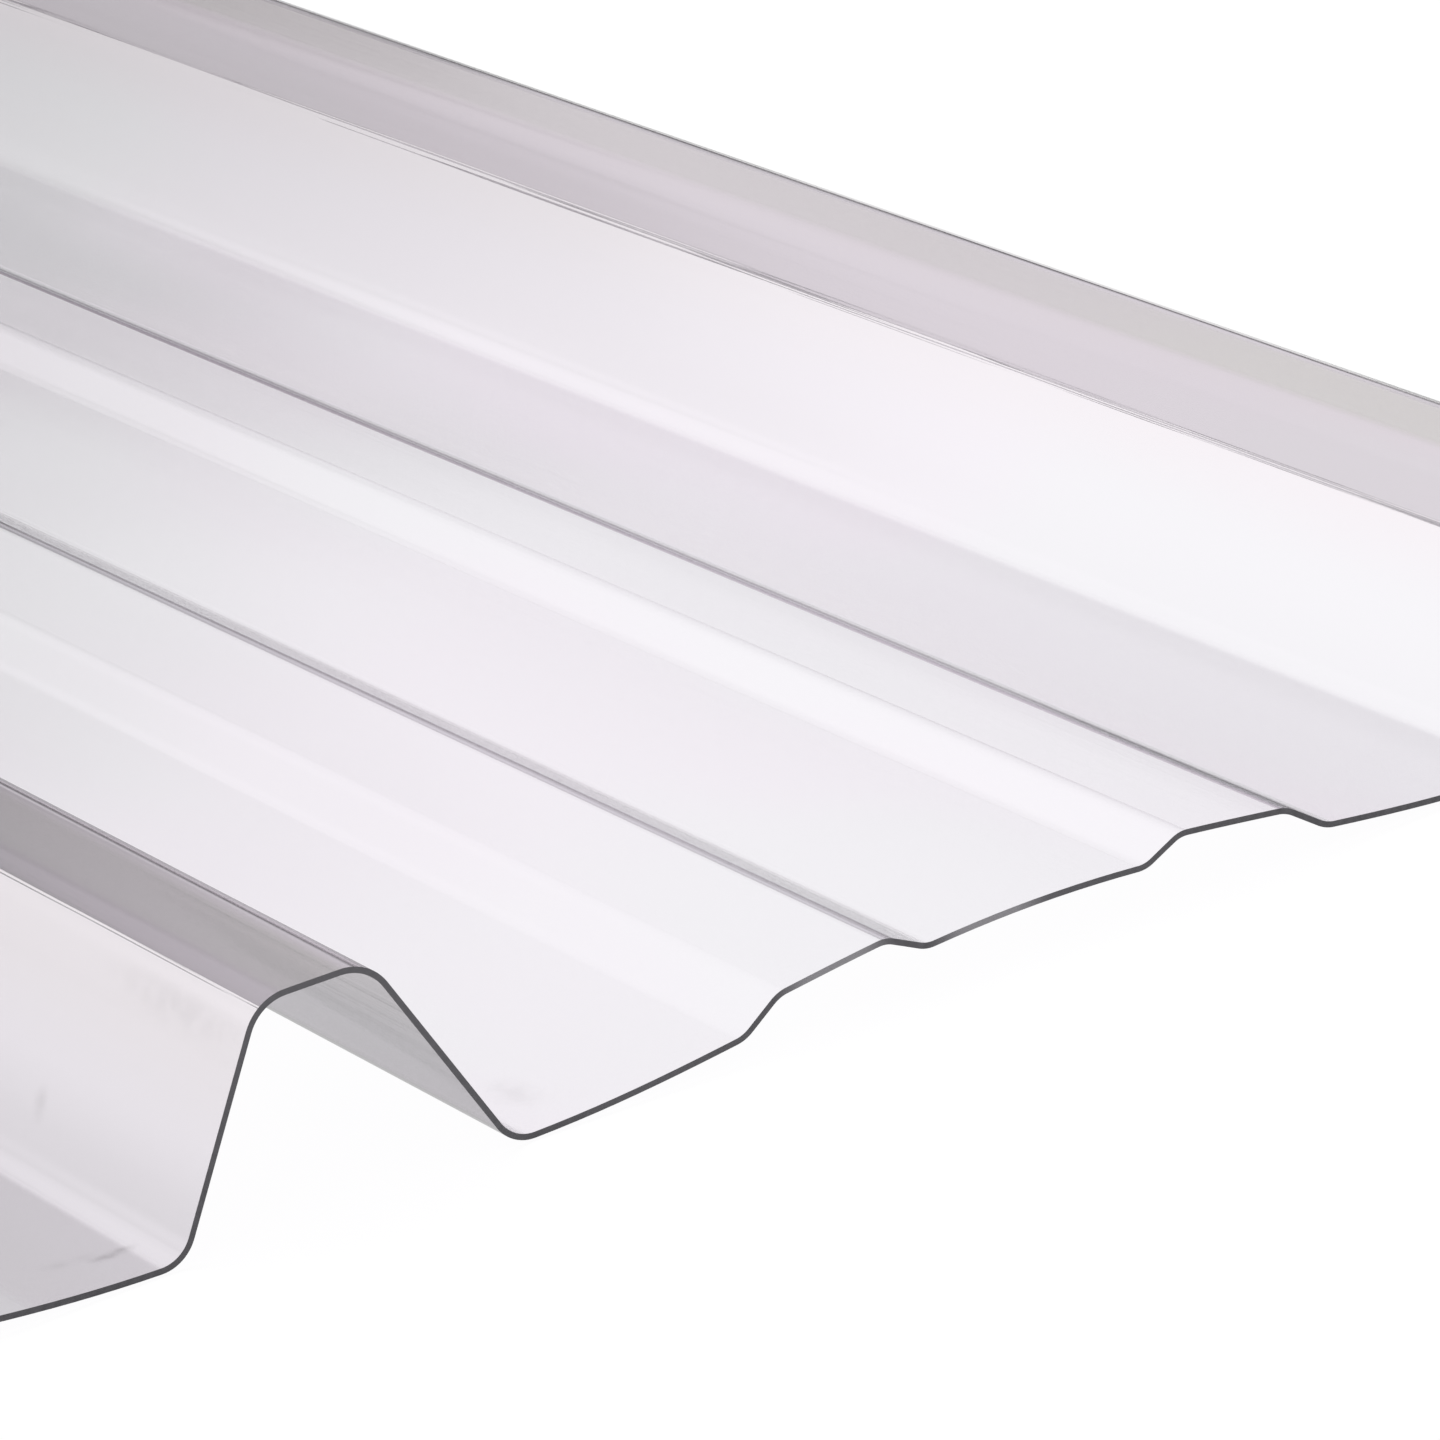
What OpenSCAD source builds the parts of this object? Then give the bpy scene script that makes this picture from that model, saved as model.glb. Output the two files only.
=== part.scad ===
// Trapezoidal roof sheet of clear solid polycarbonate, as one piece of stock.
// X runs across the sheet, Y along it and Z up. The origin is in the middle of the
// sheet, on the floor that the rib feet stand on.

/* [Sheet] */
// Length of the sheet, along its ribs
sheet_length = 2000; // [600:10:6000]
// Thickness of the material
sheet_thick = 1; // [0.8:0.1:2]
// Number of trapezoidal ribs, with one at each side edge
rib_count = 4; // [2:1:6]
// Distance from the middle of one rib to the middle of the next
rib_pitch = 250; // [230:1:333]

/* [Ribs] */
// Height of a rib's crest above its feet
rib_height = 36; // [24:0.5:45]
// Width of a rib between the corners at its feet
rib_base = 57; // [50:0.5:70]
// Width of a rib between the corners at its crest
rib_crest = 19; // [16:0.5:30]
// Bend radius between crest and flank, in the middle of the material
shoulder_radius = 8; // [3:0.5:10]
// Bend radius between flank and pan, in the middle of the material
foot_radius = 6.5; // [3:0.5:12]

/* [Pans] */
// Rise of the middle of a pan above the feet on both sides of it
pan_crown = 8; // [0:0.5:12]
// Distance between the middles of the two minor ribs in a pan
minor_spacing = 75; // [60:0.5:90]
// Height of a minor rib above the pan
minor_height = 4; // [1:0.5:6]
// Width of a minor rib between the corners at its feet
minor_base = 34; // [30:0.5:44]
// Width of a minor rib between the corners at its top
minor_top = 20; // [12:0.5:24]
// Bend radius at a minor rib's four corners, in the middle of the material
minor_radius = 5.5; // [1.5:0.5:7]

/* [Hidden] */
// Straight steps that make up one bend
BEND_STEPS = 6;
// Longest straight step along a crowned pan
PAN_STEP = 8;

first_rib_x = -(rib_count - 1) * rib_pitch / 2;
pan_width = rib_pitch - rib_base;

// A trapezoid's four corners on the section's middle line, each [x, z, bend radius]
function trapezoid(middle_x, base, top, height, foot_bend, top_bend) = [
    [middle_x - base / 2, 0, foot_bend],
    [middle_x - top / 2, height, top_bend],
    [middle_x + top / 2, height, top_bend],
    [middle_x + base / 2, 0, foot_bend]
];

function rib(x) = trapezoid(x, rib_base, rib_crest, rib_height, foot_radius, shoulder_radius);

function minor_rib(x) =
    trapezoid(x, minor_base, minor_top, minor_height, minor_radius, minor_radius);

function minor_pair(x) = concat(minor_rib(x - minor_spacing / 2), minor_rib(x + minor_spacing / 2));

// Corners from one side edge to the other: each rib, then the pan that follows it
corners = [
    for (i = [0 : rib_count - 1])
        let (x = first_rib_x + i * rib_pitch)
            each i < rib_count - 1 ? concat(rib(x), minor_pair(x + rib_pitch / 2)) : rib(x)
];
last_corner = len(corners) - 1;

function flat(corner) = [corner.x, corner.y];
function unit(v) = v / norm(v);

// Points of the bend at corner b, on the way from corner a to corner c
function bend(a, b, c) =
    let (
        back = unit(flat(a) - flat(b)),
        ahead = unit(flat(c) - flat(b)),
        half_angle = acos(back * ahead) / 2,
        sweep = 180 - 2 * half_angle,
        centre = flat(b) + unit(back + ahead) * b[2] / sin(half_angle),
        start = flat(b) + back * b[2] / tan(half_angle) - centre,
        end = flat(b) + ahead * b[2] / tan(half_angle) - centre
    )
    [
        for (k = [0 : BEND_STEPS])
            let (turn = sweep * k / BEND_STEPS)
                centre + (start * sin(sweep - turn) + end * sin(turn)) / sin(sweep)
    ];

// The side edges are cut square, and every corner between them is bent
bends = [
    for (i = [0 : last_corner])
        i == 0 || i == last_corner ? [flat(corners[i])] : bend(corners[i - 1], corners[i], corners[i + 1])
];

// Rise of the crowned pan at x: level where it meets the feet, and nothing under a rib
function crown_at(x) =
    let (from_foot = (x - first_rib_x) % rib_pitch - rib_base / 2)
        from_foot > 0 && from_foot < pan_width ? pan_crown * pow(sin(180 * from_foot / pan_width), 2) : 0;

// Points between two bends, which only a crowned stretch needs
function between(a, b) =
    let (steps = crown_at((a.x + b.x) / 2) > 0 ? ceil(norm(b - a) / PAN_STEP) : 1)
        [for (k = [1 : 1 : steps - 1]) a + (b - a) * k / steps];

level_line = [
    for (i = [0 : last_corner])
        each i < last_corner
            ? concat(bends[i], between(bends[i][len(bends[i]) - 1], bends[i + 1][0]))
            : bends[i]
];
middle_line = [for (p = level_line) [p.x, p.y + crown_at(p.x)]];

// The middle line's normals, one for each straight step, pointing to the upper face
normals = [
    for (i = [1 : len(middle_line) - 1])
        let (along = unit(middle_line[i] - middle_line[i - 1]))
            [-along.y, along.x]
];

// The upper or lower face: the middle line moved by rise along its normals, mitred
function face(rise) = [
    for (i = [0 : len(middle_line) - 1])
        let (
            before = normals[max(i - 1, 0)],
            after = normals[min(i, len(normals) - 1)],
            mitre = unit(before + after)
        )
            middle_line[i] + mitre * rise / (mitre * after)
];

upper_face = face(sheet_thick / 2);
lower_face = face(-sheet_thick / 2);
feet_z = min([for (p = lower_face) p.y]);

module section() {
    polygon(concat(upper_face, [for (i = [len(lower_face) - 1 : -1 : 0]) lower_face[i]]));
}

module roof_sheet() {
    color([0.93, 0.92, 0.95, 0.45])
        translate([0, sheet_length / 2, -feet_z])
            rotate([90, 0, 0])
                linear_extrude(sheet_length)
                    section();
}

roof_sheet();
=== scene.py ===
"""Clear polycarbonate roof sheet: its finish, studio and camera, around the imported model."""

import math

import bpy
from mathutils import Matrix, Vector


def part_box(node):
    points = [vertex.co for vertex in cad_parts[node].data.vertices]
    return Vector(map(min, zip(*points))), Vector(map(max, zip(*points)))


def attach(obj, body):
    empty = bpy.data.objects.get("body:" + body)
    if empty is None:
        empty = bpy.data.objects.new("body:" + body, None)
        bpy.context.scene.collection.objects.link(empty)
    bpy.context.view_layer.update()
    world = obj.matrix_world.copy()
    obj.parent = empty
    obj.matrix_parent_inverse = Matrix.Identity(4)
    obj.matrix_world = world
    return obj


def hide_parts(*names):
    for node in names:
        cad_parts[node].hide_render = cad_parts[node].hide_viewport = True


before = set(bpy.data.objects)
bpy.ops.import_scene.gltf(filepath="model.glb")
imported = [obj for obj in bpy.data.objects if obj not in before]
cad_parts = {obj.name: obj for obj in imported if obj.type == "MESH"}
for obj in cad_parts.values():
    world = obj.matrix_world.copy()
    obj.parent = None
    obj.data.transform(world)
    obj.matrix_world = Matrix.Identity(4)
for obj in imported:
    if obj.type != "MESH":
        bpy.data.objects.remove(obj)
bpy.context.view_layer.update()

# ---------------------------------------------------------------- sizes, in metres
NODE = "roof_sheet"
LOW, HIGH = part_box(NODE)
THICK = 0.001                    # wall thickness
RIB_COUNT = 4
RIB_PITCH = 0.25
RIB_BASE, RIB_CREST = 0.057, 0.019   # width between corners at a rib's foot and crest
RIB_HEIGHT = 0.036
SHOULDER_RADIUS, FOOT_RADIUS = 0.008, 0.0065
PAN_WIDTH = RIB_PITCH - RIB_BASE
PAN_CROWN = 0.008                # rise of a pan's middle above the feet beside it
MINOR_SPACING = 0.075
MINOR_BASE, MINOR_TOP = 0.034, 0.020
MINOR_HEIGHT, MINOR_RADIUS = 0.004, 0.0055
FIRST_RIB_X = -(RIB_COUNT - 1) * RIB_PITCH / 2

BEND_STEPS = 12                  # straight steps in one bend
PAN_STEP = 0.004                 # longest straight step across a pan
LENGTH_STEP = 0.10               # distance between the section's copies along the sheet
SMOOTH_ANGLE = 40                # a bend up to this many degrees is shaded smooth


# ---------------------------------------------------------------- section
def trapezoid(middle, base, top, height, foot_bend, top_bend):
    """A trapezoid's four corners on the wall's middle line, each (x, z, bend radius)."""
    return [
        (middle - base / 2, 0.0, foot_bend),
        (middle - top / 2, height, top_bend),
        (middle + top / 2, height, top_bend),
        (middle + base / 2, 0.0, foot_bend),
    ]


def section_corners():
    """Every corner from the left side edge to the right one."""
    corners = []
    for i in range(RIB_COUNT):
        x = FIRST_RIB_X + i * RIB_PITCH
        corners += trapezoid(x, RIB_BASE, RIB_CREST, RIB_HEIGHT, FOOT_RADIUS, SHOULDER_RADIUS)
        if i < RIB_COUNT - 1:
            for side in (-1, 1):
                middle = x + RIB_PITCH / 2 + side * MINOR_SPACING / 2
                bends = (MINOR_RADIUS, MINOR_RADIUS)
                corners += trapezoid(middle, MINOR_BASE, MINOR_TOP, MINOR_HEIGHT, *bends)
    return corners


def bend(before, corner, after):
    """Points of the bend at a corner, an arc that touches the lines to its neighbours."""
    b = Vector(corner[:2])
    back = (Vector(before[:2]) - b).normalized()
    ahead = (Vector(after[:2]) - b).normalized()
    radius = corner[2]
    half_angle = back.angle(ahead) / 2
    sweep = math.pi - 2 * half_angle
    centre = b + (back + ahead).normalized() * radius / math.sin(half_angle)
    start = b + back * radius / math.tan(half_angle) - centre
    end = b + ahead * radius / math.tan(half_angle) - centre
    points = []
    for k in range(BEND_STEPS + 1):
        turn = sweep * k / BEND_STEPS
        arm = (start * math.sin(sweep - turn) + end * math.sin(turn)) / math.sin(sweep)
        points.append(centre + arm)
    return points


def crown_at(x):
    """Rise of the crowned pan at x: level at the feet beside it, and nothing under a rib."""
    from_foot = (x - FIRST_RIB_X) % RIB_PITCH - RIB_BASE / 2
    if not 0 < from_foot < PAN_WIDTH:
        return 0.0
    return PAN_CROWN * math.sin(math.pi * from_foot / PAN_WIDTH) ** 2


def middle_line():
    """The wall's middle line, from side edge to side edge."""
    corners = section_corners()
    runs = [[Vector(corners[0][:2])]]
    runs += [bend(*corners[i - 1:i + 2]) for i in range(1, len(corners) - 1)]
    runs += [[Vector(corners[-1][:2])]]
    line = []
    for here, following in zip(runs, runs[1:] + [None]):
        line += here
        if following:
            gap = following[0] - here[-1]
            steps = math.ceil(gap.length / PAN_STEP)
            line += [here[-1] + gap * k / steps for k in range(1, steps)]
    return [Vector((p.x, p.y + crown_at(p.x))) for p in line]


def offset(line, rise):
    """The line moved by rise along its normals, mitred at its points."""
    along = [(b - a).normalized() for a, b in zip(line, line[1:])]
    normals = [Vector((-a.y, a.x)) for a in along]
    moved = []
    for i, point in enumerate(line):
        before, after = normals[max(i - 1, 0)], normals[min(i, len(normals) - 1)]
        mitre = (before + after).normalized()
        moved.append(point + mitre * rise / mitre.dot(after))
    return moved


# ---------------------------------------------------------------- the sheet's mesh
FACES, CUT = 0, 1                # material slots


def sheet_mesh():
    """The sheet as one closed shell: both faces, the side edges and the sawn ends."""
    line = middle_line()
    upper, lower = offset(line, THICK / 2), offset(line, -THICK / 2)
    lift = LOW.z - min(p.y for p in lower)
    rows = round((HIGH.y - LOW.y) / LENGTH_STEP)
    places = [LOW.y + (HIGH.y - LOW.y) * j / rows for j in range(rows + 1)]
    verts, faces, slots = [], [], []
    for outline in (upper, lower):
        verts += [(p.x, y, p.y + lift) for y in places for p in outline]
    n, side = len(line), len(line) * len(places)

    def quad(a, b, c, d, slot):
        faces.append((a, b, c, d))
        slots.append(slot)

    for j in range(rows):
        for i in range(n - 1):
            a = j * n + i
            quad(a, a + 1, a + n + 1, a + n, FACES)
            quad(side + a, side + a + n, side + a + n + 1, side + a + 1, FACES)
        for i in (0, n - 1):
            a = j * n + i
            rim = (a, a + n, side + a + n, side + a)
            quad(*(rim if i == 0 else reversed(rim)), CUT)
    for j in (0, rows):
        for i in range(n - 1):
            a = j * n + i
            end = (a, side + a, side + a + 1, a + 1)
            quad(*(end if j == 0 else reversed(end)), CUT)
    mesh = bpy.data.meshes.new("clear_sheet")
    mesh.from_pydata(verts, [], faces)
    mesh.polygons.foreach_set("material_index", slots)
    mesh.shade_smooth()
    mesh.set_sharp_from_angle(angle=math.radians(SMOOTH_ANGLE))
    mesh.update()
    return mesh


# ---------------------------------------------------------------- shading helpers
MIX_FACTOR, MIX_FIRST, MIX_SECOND, MIX_RESULT = 0, 6, 7, 2   # a Mix node's sockets for colours


class Graph:
    """A material's or world's node tree, with short calls to add and link nodes."""

    def __init__(self, owner, output):
        owner.use_nodes = True
        self.owner = owner
        self.tree = owner.node_tree
        self.tree.nodes.clear()
        self.output = self.add(output)

    def add(self, kind, inputs=None, **settings):
        """A node with its settings. An input is a value or another node's output."""
        node = self.tree.nodes.new(kind)
        for name, value in settings.items():
            setattr(node, name, value)
        for key, value in (inputs or {}).items():
            if isinstance(value, bpy.types.NodeSocket):
                self.tree.links.new(value, node.inputs[key])
            else:
                node.inputs[key].default_value = value
        return node

    def math(self, operation, *values):
        return self.add("ShaderNodeMath", dict(enumerate(values)), operation=operation).outputs[0]

    def largest(self, first, *others):
        for other in others:
            first = self.math("MAXIMUM", first, other)
        return first

    def ramp(self, value, low, high, to_low=0.0, to_high=1.0):
        """to_low where value is under low, to_high where it is over high, and smooth between."""
        inputs = {
            "Value": value, "From Min": low, "From Max": high, "To Min": to_low, "To Max": to_high}
        return self.add("ShaderNodeMapRange", inputs, interpolation_type="SMOOTHSTEP").outputs[0]

    def place(self, scale=(1.0, 1.0, 1.0), shift=(0.0, 0.0, 0.0)):
        """The point on the object, in metres, scaled and shifted."""
        coordinates = self.add("ShaderNodeTexCoord").outputs["Object"]
        inputs = {"Vector": coordinates, "Scale": scale, "Location": shift}
        return self.add("ShaderNodeMapping", inputs).outputs[0]

    def axes(self, vector):
        return self.add("ShaderNodeSeparateXYZ", {0: vector}).outputs

    def noise(self, vector, scale, detail=2.0):
        inputs = {"Vector": vector, "Scale": scale, "Detail": detail}
        return self.add("ShaderNodeTexNoise", inputs).outputs["Fac"]

    def bump(self, height, strength, distance, normal=None):
        inputs = {"Height": height, "Strength": strength, "Distance": distance}
        if normal:
            inputs["Normal"] = normal
        return self.add("ShaderNodeBump", inputs).outputs[0]

    def blend(self, factor, first, second):
        """A colour between two, each a value or another node's output."""
        inputs = {MIX_FACTOR: factor, MIX_FIRST: first, MIX_SECOND: second}
        return self.add("ShaderNodeMix", inputs, data_type="RGBA").outputs[MIX_RESULT]

    def finish(self, surface):
        self.tree.links.new(surface, self.output.inputs["Surface"])
        return self.owner


def material(name):
    return Graph(bpy.data.materials.new(name), "ShaderNodeOutputMaterial")


def from_rib_line(g, x, first):
    """How far x is to the right of the nearest line, when lines repeat with the ribs from first."""
    return g.math("WRAP", g.math("SUBTRACT", x, first), -RIB_PITCH / 2, RIB_PITCH / 2)


# ---------------------------------------------------------------- the sheet's materials
REFRACTION = 1.585
LILAC_TINT = (0.990, 0.950, 1.0, 1.0)    # pans
COOL_TINT = (0.978, 0.966, 0.995, 1.0)   # pans, in patches
RIB_TINT = (0.985, 0.938, 0.972, 1.0)
# Painted shade: the crest's greyer tints
CREST_SHADE_TINT = (0.890, 0.862, 0.860, 1.0)
WARM_CREST_SHADE_TINT = (0.890, 0.880, 0.845, 1.0)
MARK_TINT = (0.55, 0.52, 0.54, 1.0)
SHADOW_TINT = (0.87, 0.855, 0.88, 1.0)   # what a lamp's light keeps of itself through the wall

RIB_TINT_HEIGHT = (0.014, 0.030)         # the rib's tint comes in between these heights
CREST_SHADE_HEIGHT = (0.0335, 0.0355)     # and the crest's painted shade between these
CREST_SHADE_SIDE = (0.0045, 0.0065)       # which ends this far from the crest's middle

# Noise: cells in a metre, and the share of them that is left across, along and up the sheet
MOTTLE_SCALE, MOTTLE_SQUEEZE = 11.0, (1.0, 0.35, 1.0)
STREAK_SCALE, STREAK_SQUEEZE = 260.0, (1.0, 0.004, 1.0)
WAVE_SCALE, WAVE_SQUEEZE = 8.0, (1.0, 0.3, 1.0)
SMUDGE_SCALE = 260.0
SAW_GRAIN_SCALE, SAW_DRIFT_SCALE = 900.0, 15.0

STREAK_DEPTH, STREAK_STRENGTH = 0.0004, (0.03, 0.10)   # strength on the pans and on the ribs
WAVE_DEPTH, WAVE_STRENGTH = 0.004, 0.25
CLEAN_ROUGHNESS, MARK_ROUGHNESS = 0.02, 0.3            # of a clean face, and what a mark adds

# Handling marks: middle, width across the sheet, length along it, and depth of tone
MARKS = [
    ((0.0899, -0.9890), 0.011, 0.004, 0.75),
    ((0.0840, -0.9870), 0.014, 0.005, 0.20),
    ((0.1013, -0.9473), 0.003, 0.006, 0.30),
    ((0.1125, -0.9780), 0.004, 0.060, 0.20),
    ((0.1630, -0.9840), 0.010, 0.020, 0.18),
]

# The sawn edges' colours: painted dark for the light that runs on inside the sheet, with grain and
# a painted highlight
SAW_SHADE_DARK = (0.035, 0.035, 0.038, 1.0)
SAW_SHADE_GREY = (0.070, 0.069, 0.074, 1.0)
SAW_GRAIN = (0.11, 0.108, 0.115, 1.0)
# painted highlight colour of the paler stretches
SAW_PAINTED_HIGHLIGHT = (0.27, 0.268, 0.275, 1.0)
SAW_ROUGHNESS = 0.35
SAW_GRAIN_DEPTH, SAW_GRAIN_STRENGTH = 0.0002, 0.4

# Their painted highlights, paler stretches: the middle, from the rib on the left, and half the
# width
PAINTED_PALE_STRETCHES = [(0.0880, 0.012), (0.1165, 0.012)]
PAINTED_PALENESS = 0.9


def marks(g):
    """How far the surface is smudged, from 0 to 1."""
    parts = []
    for (x, y), width, length, depth in MARKS:
        scale = (2 / width, 2 / length, 0.0)
        local = g.place(scale, (-x * scale[0], -y * scale[1], 0.0))
        reach = g.add("ShaderNodeVectorMath", {0: local}, operation="LENGTH").outputs["Value"]
        parts.append(g.ramp(reach, 0.0, 1.0, depth, 0.0))
    patchy = g.ramp(g.noise(g.place(), SMUDGE_SCALE), 0.3, 0.6, 0.3, 1.0)
    return g.math("MULTIPLY", g.largest(*parts), patchy)


def clear_polycarbonate():
    """Clear plastic, lilac on the pans and with a greyer painted shade on the crests, drawn out in
    faint streaks.
    """
    g = material("clear_polycarbonate")
    x, _, height = g.axes(g.place())[:3]
    from_middle = g.math("ABSOLUTE", from_rib_line(g, x, FIRST_RIB_X))
    on_rib = g.ramp(height, *RIB_TINT_HEIGHT)
    on_flat = g.ramp(from_middle, *CREST_SHADE_SIDE, 1.0, 0.0)
    on_crest = g.math("MULTIPLY", g.ramp(height, *CREST_SHADE_HEIGHT), on_flat)
    scuffed = marks(g)
    mottle = g.ramp(g.noise(g.place(MOTTLE_SQUEEZE), MOTTLE_SCALE), 0.42, 0.58)
    pan_tint = g.blend(mottle, LILAC_TINT, COOL_TINT)
    # Painted shade on the crests
    crest_shade_tint = g.blend(mottle, CREST_SHADE_TINT, WARM_CREST_SHADE_TINT)
    tint = g.blend(on_crest, g.blend(on_rib, pan_tint, RIB_TINT), crest_shade_tint)
    colour = g.blend(scuffed, tint, MARK_TINT)
    streaks = g.noise(g.place(STREAK_SQUEEZE), STREAK_SCALE, 4.0)
    waves = g.noise(g.place(WAVE_SQUEEZE), WAVE_SCALE)
    streak_strength = g.ramp(on_rib, 0.0, 1.0, *STREAK_STRENGTH)
    streaked = g.bump(streaks, streak_strength, STREAK_DEPTH)
    normal = g.bump(waves, WAVE_STRENGTH, WAVE_DEPTH, streaked)
    roughness = g.math("MULTIPLY_ADD", scuffed, MARK_ROUGHNESS, CLEAN_ROUGHNESS)
    plastic = g.add("ShaderNodeBsdfPrincipled", {
        "Base Color": colour, "Roughness": roughness, "IOR": REFRACTION,
        "Transmission Weight": 1.0, "Normal": normal}).outputs[0]
    # A lamp's light and the light off the paper go straight through, a little dimmed
    passing = g.add("ShaderNodeBsdfTransparent", {"Color": SHADOW_TINT}).outputs[0]
    path = g.add("ShaderNodeLightPath").outputs
    from_lamps = g.largest(path["Is Shadow Ray"], path["Is Diffuse Ray"])
    return g.finish(
        g.add("ShaderNodeMixShader", {0: from_lamps, 1: plastic, 2: passing}).outputs[0])


def cut_edge():
    """Sawn edges, painted dark for the light that gets into them and runs on inside the sheet."""
    g = material("cut_edge")
    x = g.axes(g.place())[0]
    from_rib = g.math("WRAP", g.math("SUBTRACT", x, FIRST_RIB_X), 0.0, RIB_PITCH)
    parts = []
    # Painted highlight: paler stretches of the sawn edge in each pan
    for middle, half_width in PAINTED_PALE_STRETCHES:
        away = g.math("ABSOLUTE", g.math("SUBTRACT", from_rib, middle))
        parts.append(g.ramp(away, half_width / 3, half_width, PAINTED_PALENESS, 0.0))
    pale = g.largest(*parts)
    grain = g.noise(g.place(), SAW_GRAIN_SCALE, 3.0)
    drift = g.ramp(g.noise(g.place(), SAW_DRIFT_SCALE), 0.35, 0.65)
    # Painted shade: the sawn edges' dark colour, with grain through it
    dark = g.blend(grain, g.blend(drift, SAW_SHADE_DARK, SAW_SHADE_GREY), SAW_GRAIN)
    colour = g.blend(pale, dark, SAW_PAINTED_HIGHLIGHT)
    normal = g.bump(grain, SAW_GRAIN_STRENGTH, SAW_GRAIN_DEPTH)
    return g.finish(g.add("ShaderNodeBsdfPrincipled", {
        "Base Color": colour, "Roughness": SAW_ROUGHNESS, "IOR": REFRACTION,
        "Normal": normal}).outputs[0])


# ---------------------------------------------------------------- the sheet
def link(obj):
    bpy.context.scene.collection.objects.link(obj)
    return obj


sheet = link(bpy.data.objects.new("clear_sheet", sheet_mesh()))
sheet.data.materials.append(clear_polycarbonate())
sheet.data.materials.append(cut_edge())
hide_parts(NODE)
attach(sheet, "root")

# ---------------------------------------------------------------- floor
FLOOR_RADIUS = 60.0
FLOOR_Z = -0.0002       # just clear of the rib feet
PAPER_COLOUR = (0.94, 0.94, 0.94, 1.0)
WHITE = (1.0, 1.0, 1.0, 1.0)
WHITE_SHARE = 0.90      # share of plain white in the floor seen directly, the rest is lit paper
ONE_WALL = 2.0          # the depth of a ray that has come through one wall
LAYER_DIMMING = 0.63    # painted shade: what each wall beyond the first lets through, of the paper under the sheet
OPEN_DIMMING = 0.865    # the same for the open paper beside the sheet
OPEN_PAPER = (-0.12, 0.02)   # one turns into the other here, from the sheet's right edge
MOST_WALLS = 2.0        # bends that trap light don't dim it any further than this

# Painted shades on the paper under the sheet, seen through it: painted shadows beside and under
# the ribs. Where there are two values, the first holds beside the rib on the right and the second
# beside those on the left, and one turns into the other between the two SIDES.
SIDES = (0.30, 0.10)
SHADE_REACH = (-0.037, -0.056)   # how far the shade on a rib's left reaches from its foot
SHADE_FADE = 0.009               # how softly it ends there
SHADE_EDGE = -0.0045             # where its sharp edge is, from the foot
EDGE_FADE = 0.0025
SHADE_DEPTH = (0.10, 0.36)       # how much darker the paper is in it, at the near end
SHADE_LENGTH = 0.35              # it thins out over this length from the near end
SHADE_REMAINS = (0.60, 0.17)     # to this share
INNER_DEPTH = 0.43               # share of it that goes on past the edge, to the rib's middle
INNER_SHARE = (0.5, 1.0)         # and how much of that there is on each side
FOOT_DEPTH = (0.05, 0.0)         # what a thin shade along the sharp edge adds
FOOT_WIDTH = 0.008

# Painted shade: the darker stretch under each rib, far from its open ends
HOLLOW_SHADE_DEPTH = 0.24
HOLLOW_SHADE_LENGTH = (0.72, 0.28)     # it starts and is full at these distances from the middle
HOLLOW_SHADE_LEFT = (-0.028, 0.012)    # its soft sides, from the rib's left foot
HOLLOW_SHADE_RIGHT = (-0.010, 0.040)   # and from its right foot

# Painted falloff of light on the paper under the sheet: what is left of it to the left of these
# places and at the back, where more of it is left on the right
LEFT_LIGHT, LEFT_LIGHT_X = 0.97, (0.28, 0.15)
BACK_LIGHT, BACK_LIGHT_X = (0.95, 0.98), (0.28, 0.31)
BACK_LIGHT_Y = (-0.9, -0.5)


def painted_light_under_sheet(g):
    """Painted tone of the paper under the sheet: shade at and under the ribs, in light that falls
    off.
    """
    x, y = g.axes(g.place())[:2]
    from_foot = from_rib_line(g, x, FIRST_RIB_X - RIB_BASE / 2)

    def by_side(pair):
        """The first value on the right and the second on the left."""
        return g.ramp(x, *SIDES, *pair)

    edge = g.ramp(from_foot, SHADE_EDGE, SHADE_EDGE + EDGE_FADE, 1.0, 0.0)
    inner = g.ramp(from_foot, 0.0, RIB_BASE / 2, INNER_DEPTH, 0.0)
    inner = g.math("MULTIPLY", inner, by_side(INNER_SHARE))
    reach = by_side(SHADE_REACH)
    within = g.ramp(from_foot, g.math("SUBTRACT", reach, SHADE_FADE), reach)
    beside = g.math("MULTIPLY", g.largest(edge, inner), within)
    shade = g.math("MULTIPLY", beside, by_side(SHADE_DEPTH))
    thinned = g.ramp(y, LOW.y + SHADE_LENGTH, LOW.y, by_side(SHADE_REMAINS), 1.0)
    shade = g.math("MULTIPLY", shade, thinned)

    at_foot = g.math("MULTIPLY", edge, g.ramp(from_foot, SHADE_EDGE - FOOT_WIDTH, SHADE_EDGE))
    shade = g.math("MULTIPLY_ADD", at_foot, by_side(FOOT_DEPTH), shade)

    left_end, left_full = HOLLOW_SHADE_LEFT
    right_full, right_end = HOLLOW_SHADE_RIGHT
    hollow_shade = g.math(
        "MULTIPLY", g.ramp(from_foot, left_end, left_full),
        g.ramp(from_foot, RIB_BASE + right_full, RIB_BASE + right_end, 1.0, 0.0))
    far_in = g.ramp(g.math("ABSOLUTE", y), *HOLLOW_SHADE_LENGTH, 0.0, HOLLOW_SHADE_DEPTH)
    shade = g.largest(shade, g.math("MULTIPLY", hollow_shade, far_in))

    to_left = g.ramp(x, *LEFT_LIGHT_X, 1.0, LEFT_LIGHT)
    to_back = g.ramp(y, *BACK_LIGHT_Y, 1.0, g.ramp(x, *BACK_LIGHT_X, *BACK_LIGHT))
    falloff = g.math("MULTIPLY", to_left, to_back)
    return g.math("MULTIPLY", falloff, g.math("SUBTRACT", 1.0, shade))


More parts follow.
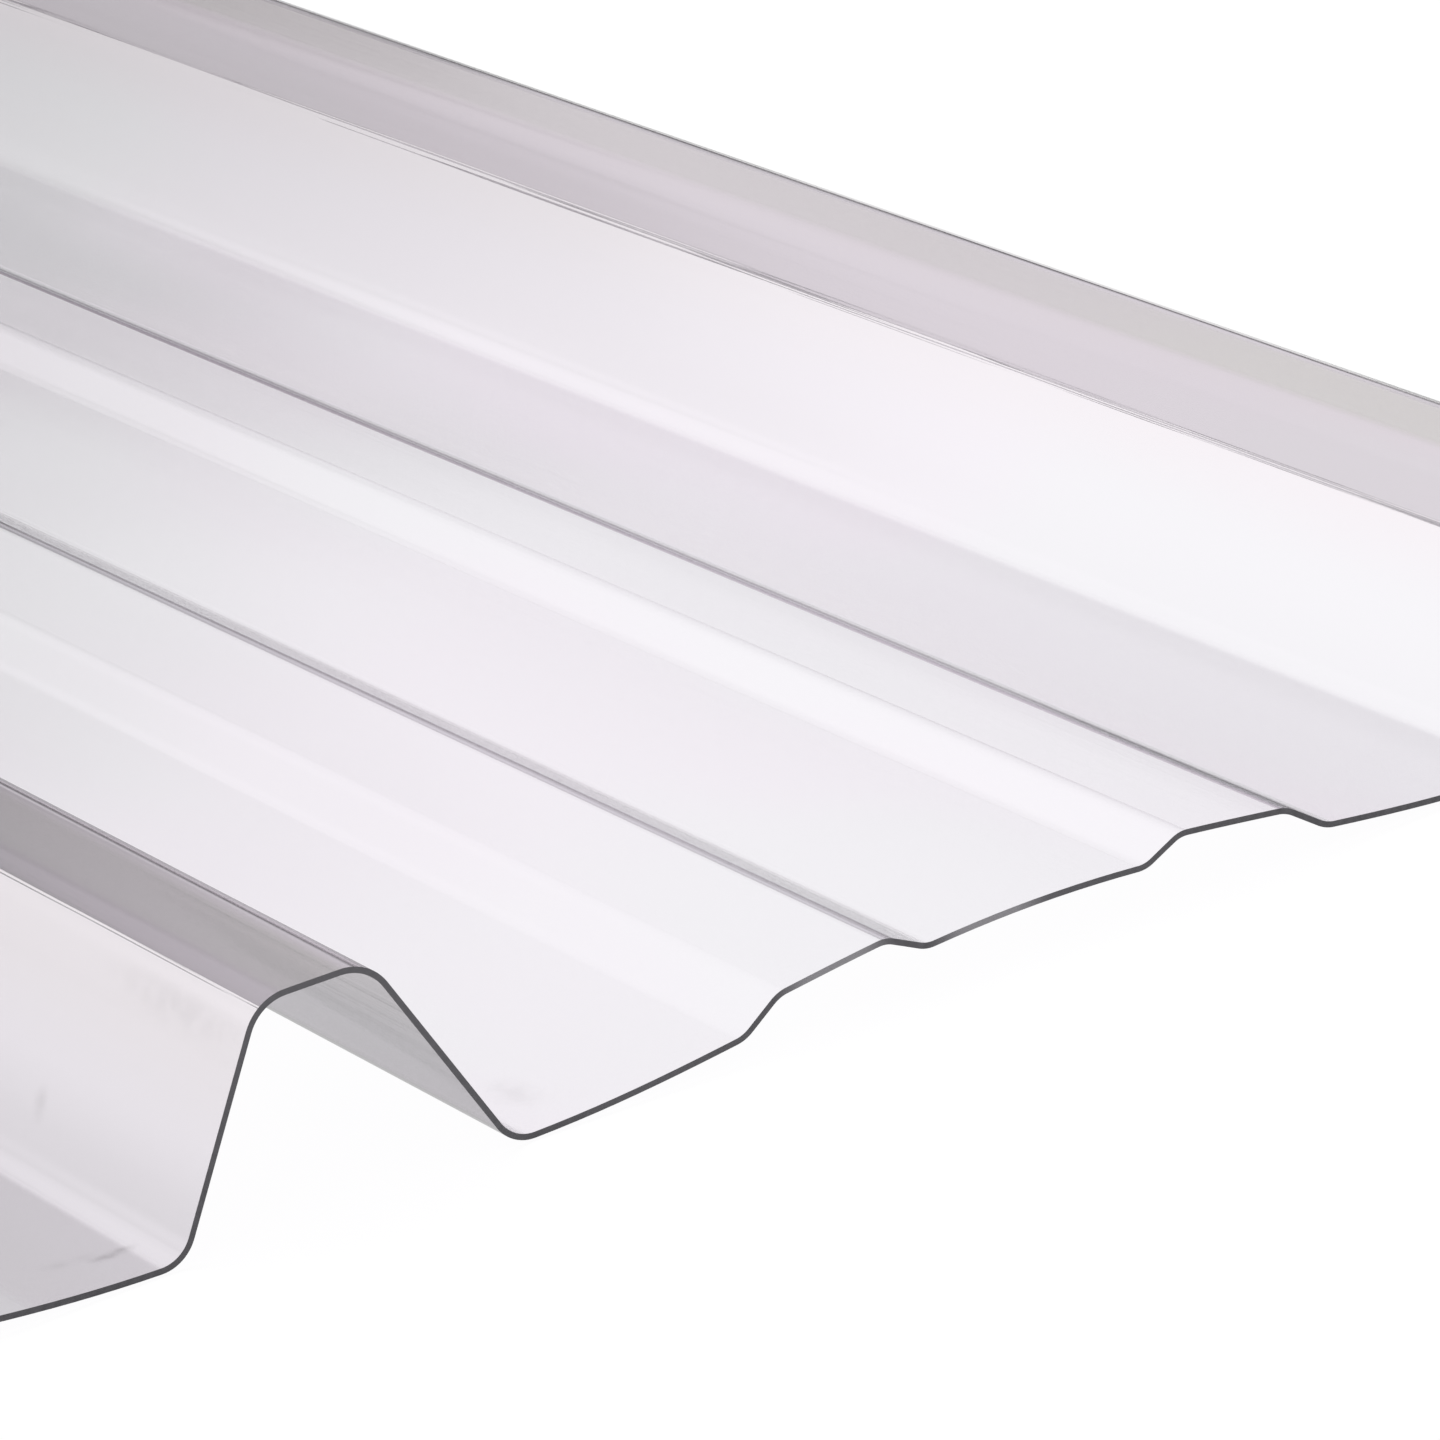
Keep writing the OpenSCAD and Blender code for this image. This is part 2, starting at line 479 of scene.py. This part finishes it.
def white_floor():
    """White paper, which glass and gloss show too, with painted shade: dimmer behind each further
    wall.
    """
    g = material("white_floor")
    path = g.add("ShaderNodeLightPath").outputs
    passed = g.math("MAXIMUM", g.math("SUBTRACT", path["Ray Depth"], ONE_WALL), 0.0)
    walls = g.math("MINIMUM", g.math("ADD", passed, path["Glossy Depth"]), MOST_WALLS)
    x = g.axes(g.place())["X"]
    under, beside = OPEN_PAPER
    dimming = g.ramp(x, HIGH.x + under, HIGH.x + beside, LAYER_DIMMING, OPEN_DIMMING)
    behind_glass = g.largest(path["Is Glossy Ray"], path["Is Transmission Ray"])
    # Painted shade: the painted tone under the sheet, shown only behind glass and in gloss
    tone = g.ramp(behind_glass, 0.0, 1.0, 1.0, painted_light_under_sheet(g))
    strength = g.math("MULTIPLY", tone, g.math("POWER", dimming, walls))
    paper = g.add("ShaderNodeBsdfDiffuse", {"Color": PAPER_COLOUR}).outputs[0]
    white = g.add("ShaderNodeEmission", {"Color": WHITE, "Strength": strength}).outputs[0]
    seen = g.largest(g.math("MULTIPLY", path["Is Camera Ray"], WHITE_SHARE), behind_glass)
    return g.finish(g.add("ShaderNodeMixShader", {0: seen, 1: paper, 2: white}).outputs[0])


bpy.ops.mesh.primitive_circle_add(
    vertices=96, radius=FLOOR_RADIUS, fill_type="NGON", location=(0, 0, FLOOR_Z))
floor = bpy.context.object
floor.name = "floor"
floor.data.materials.append(white_floor())


# ---------------------------------------------------------------- light
def soft_lamp(name, azimuth, elevation, distance, size, watts):
    """A square softbox that faces the origin. Azimuth turns from +Y towards -X."""
    lamp = bpy.data.lights.new(name, "AREA")
    lamp.shape = "SQUARE"
    lamp.size = size
    lamp.energy = watts
    turn = (
        Matrix.Rotation(math.radians(azimuth), 4, "Z")
        @ Matrix.Rotation(math.radians(elevation), 4, "X")
    )
    way = turn @ Vector((0, 1, 0))
    holder = link(bpy.data.objects.new(name, lamp))
    holder.location = way * distance
    holder.rotation_euler = (-way).to_track_quat("-Z", "Y").to_euler()
    holder.visible_glossy = False
    holder.visible_transmission = False


soft_lamp("overhead_softbox", azimuth=20, elevation=78, distance=3.0, size=2.4, watts=70)

# The tent around the stage. A height is a direction's z, from 0 level to 1 straight up, and a
# step goes from one height to another and from one value to another.
TENT_TINT = (1.0, 0.965, 1.02, 1.0)
HORIZON_STEP = (0.05, 0.14, 0.12, 0.70)       # the tent's brightness
UPPER_STEP = (0.46, 0.54, 0.0, 0.08)          # what is added higher up

# Its dark opening behind the sheet. Sideways it is measured by the cosine from its middle.
OPENING_DARKNESS = 0.75
OPENING_TURN = -0.026                         # how far its middle is turned from +Y
OPENING_SIDE, OPENING_TAPER = 0.797, 0.33     # where its sides are, and how they close upwards
OPENING_SHOULDER = (0.44, 0.50, 0.0, 0.025)   # how they close further near the top
OPENING_FADE = 0.025
OPENING_SILL, SILL_SLANT = (0.07, 0.13), -0.15
OPENING_TOP = (0.48, 0.56, 1.0, 0.0)


def studio_world():
    """A pale tent, dark near the floor and in an opening behind the sheet, and white when seen."""
    g = Graph(bpy.data.worlds.new("studio"), "ShaderNodeOutputWorld")
    x, y, z = g.axes(g.add("ShaderNodeTexCoord").outputs["Generated"])[:3]
    level = g.math("ADD", g.ramp(z, *HORIZON_STEP), g.ramp(z, *UPPER_STEP))
    flat = g.math("SQRT", g.math("ADD", g.math("MULTIPLY", x, x), g.math("MULTIPLY", y, y)))
    backwards = g.math("DIVIDE", g.math("MULTIPLY_ADD", x, OPENING_TURN, y), flat)
    side = g.math("MULTIPLY_ADD", z, OPENING_TAPER, OPENING_SIDE)
    side = g.math("ADD", side, g.ramp(z, *OPENING_SHOULDER))
    between_sides = g.ramp(g.math("SUBTRACT", backwards, side), -OPENING_FADE, OPENING_FADE)
    sill = g.math("MULTIPLY_ADD", g.math("DIVIDE", x, flat), SILL_SLANT, z)
    upright = g.math("MULTIPLY", g.ramp(sill, *OPENING_SILL), g.ramp(z, *OPENING_TOP))
    opening = g.math("MULTIPLY", between_sides, upright)
    tent = g.math("MULTIPLY", level, g.math("MULTIPLY_ADD", opening, -OPENING_DARKNESS, 1.0))
    seen = g.add("ShaderNodeLightPath").outputs["Is Camera Ray"]
    colour = g.blend(seen, TENT_TINT, WHITE)
    sky = g.add("ShaderNodeBackground", {"Color": colour, "Strength": g.largest(tent, seen)})
    return g.finish(sky.outputs[0])


bpy.context.scene.world = studio_world()

# ---------------------------------------------------------------- camera
CAMERA_PLACE = (-0.432, -2.175, 0.543)
CAMERA_AZIMUTH, CAMERA_TILT, CAMERA_ROLL = -28.26, -20.10, -8.67   # degrees
FOCAL_LENGTH, SENSOR = 234.4, 36.0                                 # mm
BOUNCES, TRANSPARENT_BOUNCES = 48, 32     # light runs a long way inside the wall

lens = bpy.data.cameras.new("camera")
lens.lens, lens.sensor_width = FOCAL_LENGTH, SENSOR
camera = link(bpy.data.objects.new("camera", lens))
camera.matrix_world = (
    Matrix.Translation(CAMERA_PLACE)
    @ Matrix.Rotation(math.radians(CAMERA_AZIMUTH), 4, "Z")
    @ Matrix.Rotation(math.radians(90 + CAMERA_TILT), 4, "X")
    @ Matrix.Rotation(math.radians(CAMERA_ROLL), 4, "Z")
)
scene = bpy.context.scene
scene.camera = camera
scene.view_settings.view_transform = "Standard"
scene.cycles.max_bounces = BOUNCES
scene.cycles.transmission_bounces = BOUNCES
scene.cycles.glossy_bounces = BOUNCES
scene.cycles.transparent_max_bounces = TRANSPARENT_BOUNCES

bpy.context.view_layer.update()
